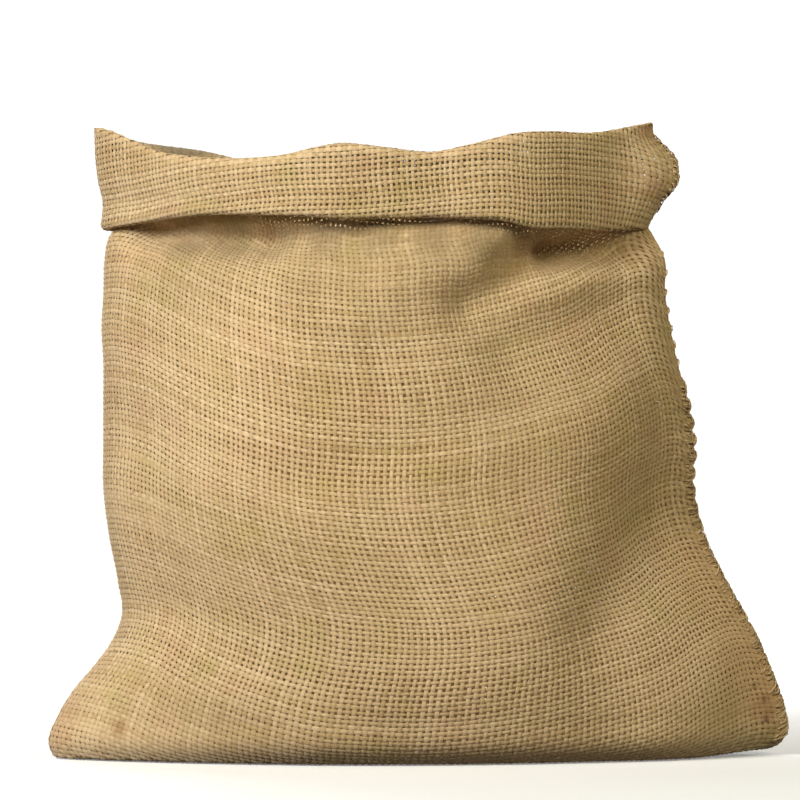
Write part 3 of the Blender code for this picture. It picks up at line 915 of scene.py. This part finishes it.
def woven(surface, plan):
    """All the warps and wefts of a cloth as two sets of ribbons."""
    count, pitch, seed = plan["warps"], plan["pitch"], plan["seed"]
    rows = int(surface.length / pitch)
    sizes = np.random.default_rng(seed + 9)
    i = np.arange(count)[:, None]
    crossing = weft_distance(np.arange(rows)[None, :], (i + 0.5) / count, pitch, seed)
    distance = np.empty((count, 2 * rows + 1))
    distance[:, 1::2] = crossing
    distance[:, 2:-1:2] = (crossing[:, 1:] + crossing[:, :-1]) / 2
    distance[:, 0] = 0.0
    distance[:, -1] = crossing[:, -1] + pitch / 2
    share = warp_share(i, distance, count, seed)
    k = np.arange(2 * rows + 1)[None, :]
    sign = np.where(k % 2 == 1, 1.0 - 2.0 * ((i + (k - 1) // 2) % 2), 0.0)
    crimp = 1 + 0.2 * noise(i * 3.1, k * 0.7, seed + 4)
    gap = np.gradient(share, axis=0) * surface.read(surface.spread, share, distance)
    width = 1 + 0.06 * sizes.uniform(-1, 1, (count, 1)) + 0.08 * noise(
        i * 5.3, distance / (7 * MM), seed + 5
    )
    width += 0.07 * noise(share * 7, distance / (60 * MM), seed + 12)
    marks = surface.read(surface.marks, share, distance)
    relief = plan["rise"] * (1 - RELIEF_LOST * sheltered(share, distance, marks))
    width *= plan["warp_cover"] * tightness(share, distance, marks)
    tone = sizes.uniform(-1, 1, (count, 1)) * 0.45 + 0.45 * noise(
        i * 2.9, distance / (30 * MM), seed + 6
    )
    warps = ribbons(
        surface,
        share,
        distance,
        relief * sign * crimp,
        gap / 2 * np.minimum(width, WARP_ROOM),
        "warp",
        tone,
        distance / YARN_PLACE + i * 2.1,
    )
    j = np.arange(rows)[:, None]
    m = np.arange(2 * count + 1)[None, :]
    even = m / (2.0 * count)
    at = weft_distance(j, even, pitch, seed)
    across = np.empty((rows, 2 * count + 1))
    at_warps = warp_share(np.arange(count)[None, :], at[:, 1::2], count, seed)
    across[:, 1::2] = at_warps
    across[:, 2:-1:2] = (at_warps[:, 1:] + at_warps[:, :-1]) / 2
    across[:, 0], across[:, -1] = 0.0, 1.0
    sign = np.where(m % 2 == 1, -1.0 + 2.0 * (((m - 1) // 2 + j) % 2), 0.0)
    crimp = 1 + 0.2 * noise(j * 2.7, m * 0.7, seed + 7)
    width = 1 + 0.07 * sizes.uniform(-1, 1, (rows, 1)) + 0.08 * noise(
        j * 4.7, across * surface.points.shape[1] / 9, seed + 8
    )
    width += 0.07 * noise(across * 7 + 40, at / (60 * MM), seed + 12)
    width += slub_swell(j, across, rows, seed)
    marks = surface.read(surface.marks, across, at)
    relief = plan["rise"] * (1 - RELIEF_LOST * sheltered(across, at, marks))
    width *= plan["weft_cover"] * tightness(across, at, marks)
    tone = sizes.uniform(-1, 1, (rows, 1)) * 0.5 + 0.45 * noise(
        j * 3.3, across * 25, seed + 10
    )
    wefts = ribbons(
        surface,
        across,
        at,
        relief * sign * crimp,
        pitch / 2 * np.minimum(width, WEFT_ROOM) * surface.read(surface.stretch, across, at),
        "weft",
        tone,
        across * count * pitch / YARN_PLACE + j * 1.7,
    )
    return warps, wefts


def face_marks(ribbon):
    """For each step along each ribbon: whether it is on the cloth, its mark and place."""
    on = ribbon["on"][:, 1:] & ribbon["on"][:, :-1]
    mark = (ribbon["marks"][:, 1:] + ribbon["marks"][:, :-1]) / 2
    middle = ribbon["cloth"][:, :, 1]
    place = (middle[:, 1:] + middle[:, :-1]) / 2
    return on, mark, place[..., 0], place[..., 1]


def add_field(mesh, field, values):
    """Keeps a number for each of the mesh's points."""
    layer = mesh.attributes.new(field, "FLOAT", "POINT")
    layer.data.foreach_set("value", np.asarray(values).astype("f"))


def linked_piece(name, mesh, material):
    """A smooth object of the mesh, in the scene."""
    mesh.shade_smooth()
    mesh.materials.append(material)
    piece = bpy.data.objects.new(name, mesh)
    bpy.context.scene.collection.objects.link(piece)
    return piece


def cloth_object(name, sets, chosen, material):
    """One object of the steps of the ribbons that chosen picks."""
    points, quads, maps, along, tones, dip_shades = [], [], [], [], [], []
    total = 0
    for number, ribbon in enumerate(sets):
        on, mark, share, distance = face_marks(ribbon)
        use = on & chosen(mark, share, distance)
        yarn, step = np.nonzero(use)
        steps = ribbon["points"].shape[1]
        first = (yarn * steps + step) * 3
        faces = []
        for across in (0, 1):
            corner = first + across
            faces.append(np.stack([corner, corner + 1, corner + 4, corner + 3], axis=1))
        faces = np.concatenate(faces)
        used, index = np.unique(faces, return_inverse=True)
        quads.append(index.reshape(-1, 4) + total)
        points.append(ribbon["points"].reshape(-1, 3)[used])
        cloth = ribbon["cloth"].reshape(-1, 2)[used]
        span = cloth.max(0) - cloth.min(0)
        flat = (cloth - cloth.min(0)) / span
        flat[:, 0] = (flat[:, 0] * 0.98 + 0.01 + number) / len(sets)
        flat[:, 1] = flat[:, 1] * 0.98 + 0.01
        maps.append(flat)
        centre = used // 3
        across = used % 3 - 1.0
        along.append(
            np.stack(
                [ribbon["place"].reshape(-1)[centre] * 0.5, across + centre // steps * 4.0], 1
            )
        )
        tones.append(ribbon["tone"].reshape(-1)[centre])
        # Each point's depth, lower at the yarn's edges, for the jute's painted shade.
        dip_shades.append(ribbon["dip_shade"].reshape(-1)[centre] - 0.1 * MM * np.abs(across))
        total += len(used)
    mesh = bpy.data.meshes.new(name)
    mesh.from_pydata(np.concatenate(points), [], np.concatenate(quads).tolist())
    corners = np.empty(len(mesh.loops), np.int32)
    mesh.loops.foreach_get("vertex_index", corners)
    for map_name, values in (("OFBake", maps), ("yarn", along)):
        layer = mesh.uv_layers.new(name=map_name)
        layer.data.foreach_set("uv", np.concatenate(values)[corners].astype("f").ravel())
    for field, values in (("tone", tones), ("dip_shade", dip_shades)):
        add_field(mesh, field, np.concatenate(values))
    return linked_piece(name, mesh, material)


def sack_sets(cloth):
    """The whole sack's ribbons for the sizes of the cloth."""
    return cached_sets(
        cloth.warps, cloth.weft_pitch, cloth.warp_cover, cloth.weft_cover, cloth.rise
    )


@functools.lru_cache(maxsize=1)
def cached_sets(warps, pitch, warp_cover, weft_cover, rise):
    """The whole sack's ribbons, kept for the next piece."""
    plan = {
        "warps": warps,
        "pitch": pitch,
        "warp_cover": warp_cover,
        "weft_cover": weft_cover,
        "rise": rise,
        "seed": 11,
    }
    return woven(sack_surface(), plan)


# Tubes for stitches, threads and fibres


def directions(path):
    """The unit direction at each point of a path."""
    run = np.gradient(path, axis=0)
    return run / np.linalg.norm(run, axis=1, keepdims=True)


def tube(path, radii, sides):
    """Rings of points round a path, and the faces between them."""
    path = np.asarray(path, float)
    run = directions(path)
    side = np.cross(run[0], STRAND_SIDE)
    points = []
    for at, along, radius in zip(path, run, np.broadcast_to(radii, len(path))):
        side = side - along * (side @ along)
        side /= np.linalg.norm(side)
        other = np.cross(along, side)
        for angle in np.arange(sides) * 2 * math.pi / sides:
            points.append(at + radius * (side * math.cos(angle) + other * math.sin(angle)))
    faces = []
    for low in range(0, (len(path) - 1) * sides, sides):
        for b in range(sides):
            after = (b + 1) % sides
            faces.append((low + b, low + after, low + sides + after, low + sides + b))
    faces.append(tuple(range(sides))[::-1])
    last = (len(path) - 1) * sides
    faces.append(tuple(range(last, last + sides)))
    return points, faces


def tubes_object(name, paths, sides, material):
    """One object of many tubes. Each path is (points, radii, tone)."""
    points, faces, tones = [], [], []
    for path, radii, tone in paths:
        path = np.array(path, float)
        path[:, 2] = np.maximum(path[:, 2], LOWEST_THREAD)
        more, between = tube(path, radii, sides)
        faces += [tuple(corner + len(points) for corner in face) for face in between]
        points += more
        tones += [tone] * len(more)
    mesh = bpy.data.meshes.new(name)
    mesh.from_pydata(points, [], faces)
    add_field(mesh, "tone", tones)
    return linked_piece(name, mesh, material)


def smooth_path(points, count):
    """A smooth curve through a few points."""
    points = np.asarray(points, float)
    along = np.arange(len(points), dtype=float)
    places = np.linspace(0, len(points) - 1, count)
    return np.stack([smooth_read(along, points[:, k], places) for k in range(3)], axis=1)


# Materials


class Nodes:
    """Short calls for the nodes of one material."""

    def __init__(self, name):
        self.material = bpy.data.materials.new(name)
        self.material.use_nodes = True
        self.tree = self.material.node_tree
        self.shader = self.tree.nodes["Principled BSDF"]

    def add(self, kind, **values):
        """A node, with its sockets set by name or linked from another node's socket."""
        node = self.tree.nodes.new(kind)
        for name, value in values.items():
            if hasattr(node, name):
                setattr(node, name, value)
            else:
                self.put(node.inputs[name.replace("_", " ")], value)
        return node

    def put(self, socket, value):
        """Sets a socket or links another one to it."""
        if isinstance(value, bpy.types.NodeSocket):
            self.tree.links.new(value, socket)
        else:
            socket.default_value = value

    def math(self, operation, one, other=0.0, clamp=False):
        """One sum of two values."""
        node = self.add("ShaderNodeMath", operation=operation, use_clamp=clamp)
        self.put(node.inputs[0], one)
        self.put(node.inputs[1], other)
        return node.outputs[0]

    def mix(self, share, one, other, blend="MIX"):
        """One colour mixed with another."""
        node = self.add("ShaderNodeMix", data_type="RGBA", blend_type=blend)
        self.put(node.inputs["Factor"], share)
        self.put(node.inputs["A"], one)
        self.put(node.inputs["B"], other)
        return node.outputs["Result"]

    def range(self, value, low, high, to_low=0.0, to_high=1.0):
        """A value carried from one range to another, kept inside it."""
        node = self.add("ShaderNodeMapRange")
        for name, given in (
            ("Value", value),
            ("From Min", low),
            ("From Max", high),
            ("To Min", to_low),
            ("To Max", to_high),
        ):
            self.put(node.inputs[name], given)
        return node.outputs["Result"]

    def noise(self, vector, scale, detail=2.0, roughness=0.5):
        """Noise from 0 to 1 over a vector."""
        node = self.add("ShaderNodeTexNoise")
        self.put(node.inputs["Vector"], vector)
        node.inputs["Scale"].default_value = scale
        node.inputs["Detail"].default_value = detail
        node.inputs["Roughness"].default_value = roughness
        return node.outputs["Fac"]

    def field(self, name):
        """A number kept on the mesh's points."""
        return self.add("ShaderNodeAttribute", attribute_name=name).outputs["Fac"]


def rgba(colour):
    return (*tuple(colour)[:3], 1.0)


def jute_material(cloth):
    """Undyed jute: each yarn its own tone, with fibres, slubs and a few stains. Painted shade
    darkens each yarn where it dips under another, and broad patches of painted shade and
    painted light lie under the cuff, on the front and on the rear rim.
    """
    found = bpy.data.materials.get("woven jute")
    if found:
        return found
    nodes = Nodes("woven jute")
    place = nodes.add("ShaderNodeTexCoord").outputs["Object"]
    yarn = nodes.add("ShaderNodeUVMap", uv_map="yarn").outputs["UV"]
    fibre = nodes.noise(yarn, 1.7, 3.0, 0.65)
    patches = nodes.noise(place, 16.0, 3.0, 0.6)
    tone = nodes.math("ADD", nodes.field("tone"), nodes.range(fibre, 0.3, 0.7, -0.55, 0.55))
    tone = nodes.math("ADD", tone, nodes.range(patches, 0.3, 0.7, -0.3, 0.3))
    colour = nodes.mix(
        nodes.range(tone, -1.0, 1.0), rgba(cloth.dark_yarn), rgba(cloth.light_yarn)
    )
    hue = nodes.noise(place, 34.0, 2.0, 0.5)
    pink = nodes.mix(nodes.range(hue, 0.56, 0.72, 0.0, 0.30), colour, (0.62, 0.33, 0.19, 1))
    colour = nodes.mix(nodes.range(hue, 0.44, 0.30, 0.0, 0.35), pink, (0.50, 0.40, 0.12, 1))
    # Painted shade: each yarn is darker where it dips under another and at its edges, down to
    # 0.62 of its colour.
    depth = nodes.range(nodes.field("dip_shade"), -0.45 * MM, 0.20 * MM, 0.62, 1.0)
    colour = nodes.mix(1.0, colour, depth, "MULTIPLY")
    # Stains, painted shade, painted light and two orange tints, each mixed in where it reaches.
    for row in STAINS_AND_PAINTED_LIGHT:
        patch = dict(zip(PATCH_COLUMNS, row))
        centre = (patch["x"], patch["y"], patch["z"])
        away = nodes.add("ShaderNodeVectorMath", operation="DISTANCE")
        nodes.put(away.inputs[0], place)
        nodes.put(away.inputs[1], centre)
        rough = nodes.math("MULTIPLY_ADD", nodes.noise(place, 260.0), 0.8 * patch["reach"])
        rough.node.inputs[2].default_value = 0.6 * patch["reach"]
        share = nodes.range(
            nodes.math("DIVIDE", away.outputs["Value"], rough),
            PATCH_FADES_AT,
            PATCH_FULL_AT,
            0.0,
            patch["strength"],
        )
        colour = nodes.mix(share, colour, rgba(patch["colour"]))
    nodes.put(nodes.shader.inputs["Base Color"], colour)
    nodes.shader.inputs["Roughness"].default_value = 0.88
    nodes.shader.inputs["Specular IOR Level"].default_value = 0.25
    nodes.shader.inputs["Sheen Weight"].default_value = 0.15
    nodes.shader.inputs["Sheen Roughness"].default_value = 0.6
    bump = nodes.add("ShaderNodeBump")
    bump.inputs["Strength"].default_value = 0.55
    bump.inputs["Distance"].default_value = 0.25 * MM
    nodes.put(bump.inputs["Height"], fibre)
    nodes.put(nodes.shader.inputs["Normal"], bump.outputs["Normal"])
    return nodes.material


def sewing_material(sewing):
    """The paler yarn of the stitches and the loose fibres."""
    found = bpy.data.materials.get("sewing yarn")
    if found:
        return found
    nodes = Nodes("sewing yarn")
    place = nodes.add("ShaderNodeTexCoord").outputs["Object"]
    fibre = nodes.noise(place, 900.0, 2.0, 0.6)
    tone = nodes.math("ADD", nodes.field("tone"), nodes.range(fibre, 0.3, 0.7, -0.25, 0.25))
    colour = rgba(sewing.colour)
    dark = (colour[0] * 0.55, colour[1] * 0.5, colour[2] * 0.42, 1.0)
    nodes.put(
        nodes.shader.inputs["Base Color"], nodes.mix(nodes.range(tone, -0.8, 0.8), dark, colour)
    )
    nodes.shader.inputs["Roughness"].default_value = 0.85
    nodes.shader.inputs["Sheen Weight"].default_value = 0.15
    bump = nodes.add("ShaderNodeBump")
    bump.inputs["Strength"].default_value = 0.5
    bump.inputs["Distance"].default_value = 0.3 * MM
    nodes.put(bump.inputs["Height"], fibre)
    nodes.put(nodes.shader.inputs["Normal"], bump.outputs["Normal"])
    return nodes.material


# Operators


def settle(piece):
    """Makes a piece ride with the sack and stand for its plain solid."""
    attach(piece, "root")
    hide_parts("sack")


class SACK_OT_front(Operator):
    """Weave the front of the sack, with its half of the foot"""

    bl_idname = "sack.weave_front"
    bl_label = "Weave the front"

    def execute(self, context):
        weave_side(context, "front")
        return {"FINISHED"}


class SACK_OT_back(Operator):
    """Weave the rear of the sack, with its half of the foot"""

    bl_idname = "sack.weave_back"
    bl_label = "Weave the rear"

    def execute(self, context):
        weave_side(context, "back")
        return {"FINISHED"}


def weave_side(context, side):
    """The lower and the upper part of the front or the rear."""
    cloth = context.scene.sack_cloth
    sets = sack_sets(cloth)
    material = jute_material(cloth)
    parts = {
        "lower": (lambda distance: distance < LOWER_PART, LOWER_PART + SEAM_ALLOWANCE),
        "upper": (lambda distance: distance >= LOWER_PART, WALL_LENGTH - LOWER_PART),
    }
    for part, (on_part, length) in parts.items():
        piece = cloth_object(
            f"cloth_{side}_{part}",
            sets,
            lambda mark, share, distance: (
                (mark < MOUTH_FROM) & HALVES[side](share) & on_part(distance)
            ),
            material,
        )
        settle(piece)


class SACK_OT_mouth(Operator):
    """Weave the rolled mouth: over the rim, down the cuff and up behind it"""

    bl_idname = "sack.weave_mouth"
    bl_label = "Weave the rolled mouth"

    def execute(self, context):
        cloth = context.scene.sack_cloth
        for side, on_side in HALVES.items():
            piece = cloth_object(
                f"rolled_mouth_{side}",
                sack_sets(cloth),
                lambda mark, share, distance: (mark >= MOUTH_FROM) & on_side(share),
                jute_material(cloth),
            )
            settle(piece)
        return {"FINISHED"}


def edge_distance(surface, height):
    """How far along the cloth the sewn edge is at a height of the wall."""
    first = len(FOOT_SHARES)
    return np.interp(height, wall_heights(), surface.along[first : first + WALL_ROWS, 0])


def cuff_distances(surface):
    """How far along the cloth the cuff's sewn edge starts and ends."""
    marks = surface.marks[:, 0]
    rows = np.nonzero((marks >= ON_CUFF) & (marks < ON_CUFF + 0.5))[0]
    return rows[0] * GRID_STEP, rows[-1] * GRID_STEP


def on_cloth(surface, share, distance, height, face=1):
    """A point a little above the cloth's face."""
    share, distance = np.array(share), np.array(distance)
    point = surface.read(surface.points, share, distance)
    return point + surface.read(surface.normal, share, distance) * height * face


def whip_stitch(surface, distance, climb, inset, thick, face):
    """One stitch: up the front to the edge, round it and down the rear."""
    shares = np.linspace(0.0, 0.03, STITCH_SHARES)
    line = surface.read(surface.points, shares, np.full(STITCH_SHARES, distance))
    run = np.concatenate([[0.0], np.cumsum(np.linalg.norm(np.diff(line, axis=0), axis=1))])
    deep = np.interp(inset, run, shares)
    level = STITCH_LEVEL + thick
    points = []
    for t in np.linspace(0.0, 0.94, 9):
        height = level * ease((t + 0.04) / 0.16) - STITCH_SUNK * (1 - ease(t / 0.16))
        points.append(on_cloth(surface, deep * (1 - t), distance + climb * t, height, face))
    at = distance + climb
    edge = surface.read(surface.points, np.array(0.0), np.array(at))
    out = -surface.read(surface.across, np.array(0.0), np.array(at))
    points.append(edge + out * thick * 0.6)
    for t in np.linspace(0.06, 0.9, 8):
        height = level * ease((0.98 - t) / 0.16)
        height = height - STITCH_SUNK * (1 - ease((0.9 - t) / 0.16))
        points.append(on_cloth(surface, 1 - deep * t, at + climb * t * 0.6, height, face))
    return smooth_path(points, STITCH_POINTS)


def twisted(path, offset, turns, start):
    """A path that winds round another one."""
    path = np.asarray(path, float)
    run = directions(path)
    side = np.cross(run, STRAND_SIDE)
    side /= np.linalg.norm(side, axis=1, keepdims=True)
    other = np.cross(run, side)
    angle = start + np.linspace(0, 2 * math.pi * turns, len(path))[:, None]
    return path + offset * (side * np.cos(angle) + other * np.sin(angle))


class SACK_OT_stitches(Operator):
    """Whip the right edge of the wall and of the cuff"""

    bl_idname = "sack.whip_edge"
    bl_label = "Whip the right edge"

    def execute(self, context):
        sewing = context.scene.sack_sewing
        surface = sack_surface()
        rng = np.random.default_rng(5)
        places = []
        for notch in range(1, int(SEAM_TOP / SCALLOP_PITCH * WAVE_STRETCH)):
            height = notch * SCALLOP_PITCH / WAVE_STRETCH
            if height < STITCHES_SHOW_TO:
                for late in (0.0, 0.33, 0.66):
                    at = edge_distance(surface, height) + late * SCALLOP_PITCH
                    places.append((at, rng.uniform(5.0, 9.5) * MM, 0.8, 1))
            else:
                places.append((edge_distance(surface, height), rng.uniform(2, 3) * MM, 0.5, 1))
        first, last = cuff_distances(surface)
        for distance in np.arange(first + 5 * MM, last - 9 * MM, CUFF_SCALLOP_PITCH):
            places.append((distance, rng.uniform(2.5, 4.0) * MM, 0.7, -1))
        paths = []
        for distance, deep, size, face in places:
            thick = sewing.thickness / 2 * size * rng.uniform(0.8, 1.1)
            for fan in (-1.0, 0.0, 1.0):
                spread = fan * deep * rng.uniform(0.10, 0.35)
                climb = rng.uniform(0.45, 0.95) * deep + spread
                start = distance - rng.uniform(0.5, 0.7) * deep - 0.3 * spread
                reach = deep * rng.uniform(0.8, 1.1)
                path = whip_stitch(surface, start, climb, reach, thick * 0.6, face)
                strand = twisted(path, thick * 0.15, reach / (3 * MM), rng.uniform(0, 6))
                paths.append((strand, thick * rng.uniform(0.4, 0.75), rng.uniform(-0.5, 1.0)))
        piece = tubes_object("whip_stitches", paths, 6, sewing_material(sewing))
        settle(piece)
        return {"FINISHED"}


class SACK_OT_fibres(Operator):
    """Raise loose fibres off the cloth"""

    bl_idname = "sack.raise_fibres"
    bl_label = "Raise loose fibres"

    def execute(self, context):
        surface = sack_surface()
        rng = np.random.default_rng(8)
        paths = []
        for _ in range(FIBRES):
            share, distance = rng.uniform(0, 1), rng.uniform(FIBRES_FROM, FIBRES_TO)
            mark, at, normal, across, up = (
                surface.read(grid, np.array(share), np.array(distance))
                for grid in (
                    surface.marks, surface.points, surface.normal, surface.across, surface.up,
                )
            )
            if 1.05 < mark < ON_RIM or mark > ON_FOLD:
                continue
            normal = normal * (1 if mark < 1.5 else -1)
            angle = rng.uniform(0, 2 * math.pi)
            way = across * math.cos(angle) + up * math.sin(angle)
            other = np.cross(normal, way)
            length, bow = rng.uniform(3, 9) * MM, rng.uniform(-0.5, 0.5)
            height = rng.uniform(0.2, 1.5) * MM
            points = [
                at + way * length * t + other * bow * length * t * (1 - t) * 2
                + normal * (0.5 * MM + height * 4 * t * (1 - t * 0.75))
                for t in (0.0, 0.33, 0.67, 1.0)
            ]
            paths.append((points, rng.uniform(0.05, 0.09) * MM, rng.uniform(-0.5, 0.9)))
        material = sewing_material(context.scene.sack_sewing)
        piece = tubes_object("loose_fibres", paths, 3, material)
        settle(piece)
        return {"FINISHED"}


class SACK_OT_stage(Operator):
    """Set the floor, the lights and the camera"""

    bl_idname = "sack.set_stage"
    bl_label = "Set the stage"

    def execute(self, context):
        stage = context.scene.sack_stage
        floor_and_backdrop(stage)
        for name, place, target, size, share, colour in LIGHTS:
            area_light(name, place, target, size, stage.key_power * share, colour)
        glow = bpy.data.lights.new("inner glow", "POINT")
        glow.energy = stage.inner_glow
        glow.color = GLOW_COLOUR
        glow.shadow_soft_size = GLOW_SIZE
        lamp = bpy.data.objects.new("inner glow", glow)
        lamp.location = GLOW_AT
        context.scene.collection.objects.link(lamp)
        world = bpy.data.worlds.new("white surroundings")
        world.use_nodes = True
        background = world.node_tree.nodes["Background"]
        background.inputs["Color"].default_value = SURROUNDINGS
        background.inputs["Strength"].default_value = stage.ambient
        context.scene.world = world
        context.scene.view_settings.view_transform = "Standard"
        set_camera(context.scene)
        return {"FINISHED"}


def floor_and_backdrop(stage):
    """A pale sweep: flat floor, a wide bend and an upright backdrop, glowing more the farther
    back it lies.
    """
    profile = [(SWEEP_FROM, 0.0), (SWEEP_BEND_AT, 0.0)]
    for angle in np.radians(np.arange(10, 91, 10)):
        out, up = SWEEP_BEND * math.sin(angle), SWEEP_BEND * (1 - math.cos(angle))
        profile.append((SWEEP_BEND_AT + out, up))
    profile.append((SWEEP_BEND_AT + SWEEP_BEND, SWEEP_TOP))
    sides = (-SWEEP_HALF_WIDTH, SWEEP_HALF_WIDTH)
    points = [(x, y, z) for y, z in profile for x in sides]
    faces = [(2 * i, 2 * i + 1, 2 * i + 3, 2 * i + 2) for i in range(len(profile) - 1)]
    mesh = bpy.data.meshes.new("pale_sweep")
    mesh.from_pydata(points, [], faces)
    mesh.shade_smooth()
    nodes = Nodes("pale floor")
    nodes.shader.inputs["Base Color"].default_value = rgba(stage.floor_colour)
    nodes.shader.inputs["Roughness"].default_value = 0.8
    nodes.shader.inputs["Specular IOR Level"].default_value = 0.1
    nodes.shader.inputs["Emission Color"].default_value = (1, 1, 1, 1)
    place = nodes.add("ShaderNodeTexCoord").outputs["Object"]
    depth = nodes.add("ShaderNodeSeparateXYZ", Vector=place).outputs["Y"]
    # Painted light: the sweep glows weakly at the sack and fully white from 0.9 m back, and no
    # diffuse light from it reaches the sack.
    glow = nodes.range(depth, -0.1, 0.9, 0.14, 1.0)
    nodes.put(nodes.shader.inputs["Emission Strength"], glow)
    mesh.materials.append(nodes.material)
    sweep = bpy.data.objects.new("pale_sweep", mesh)
    sweep.visible_diffuse = False
    bpy.context.scene.collection.objects.link(sweep)


def area_light(name, place, target, size, power, colour):
    """A large soft light at a place, turned to a target."""
    light = bpy.data.lights.new(name, "AREA")
    light.color = colour
    light.shape = "DISK"
    light.size = size
    light.energy = power
    lamp = bpy.data.objects.new(name, light)
    bpy.context.scene.collection.objects.link(lamp)
    lamp.location = place
    lamp.visible_camera = False
    away = np.array(place) - np.array(target)
    lamp.rotation_euler = (
        math.acos(away[2] / np.linalg.norm(away)),
        0.0,
        math.atan2(away[1], away[0]) + math.pi / 2,
    )


def set_camera(scene):
    """A level camera with a long lens, square on to the front."""
    camera = bpy.data.cameras.new("camera")
    camera.sensor_width = SENSOR
    camera.lens = SENSOR * -CAMERA_AT[1] / VIEW_WIDTH
    camera.clip_start, camera.clip_end = 0.05, 50.0
    eye = bpy.data.objects.new("camera", camera)
    scene.collection.objects.link(eye)
    eye.location = CAMERA_AT
    eye.rotation_euler = (math.radians(90), 0.0, 0.0)
    scene.camera = eye


class SACK_PT_panel(Panel):
    """Lists what makes the sack"""

    bl_idname = "SACK_PT_panel"
    bl_label = "Hessian Sack"
    bl_space_type = "VIEW_3D"
    bl_region_type = "UI"
    bl_category = "Sack"

    def draw(self, context):
        for group in ("sack_cloth", "sack_sewing", "sack_stage"):
            settings = getattr(context.scene, group)
            box = self.layout.box()
            for name in settings.bl_rna.properties.keys():
                if name not in ("name", "rna_type"):
                    box.prop(settings, name)
        for operator in OPERATORS:
            self.layout.operator(operator.bl_idname)


OPERATORS = (
    SACK_OT_front,
    SACK_OT_back,
    SACK_OT_mouth,
    SACK_OT_stitches,
    SACK_OT_fibres,
    SACK_OT_stage,
)
GROUPS = {
    "sack_cloth": SACK_PG_cloth,
    "sack_sewing": SACK_PG_sewing,
    "sack_stage": SACK_PG_stage,
}


def register():
    for item in (*GROUPS.values(), *OPERATORS, SACK_PT_panel):
        bpy.utils.register_class(item)
    for name, group in GROUPS.items():
        setattr(bpy.types.Scene, name, PointerProperty(type=group))


def unregister():
    for name in GROUPS:
        delattr(bpy.types.Scene, name)
    for item in (SACK_PT_panel, *OPERATORS[::-1], *GROUPS.values()):
        bpy.utils.unregister_class(item)


def main():
    """Makes every piece in order."""
    register()
    for operator in OPERATORS:
        group, name = operator.bl_idname.split(".")
        getattr(getattr(bpy.ops, group), name)()


if __name__ == "__main__":
    main()
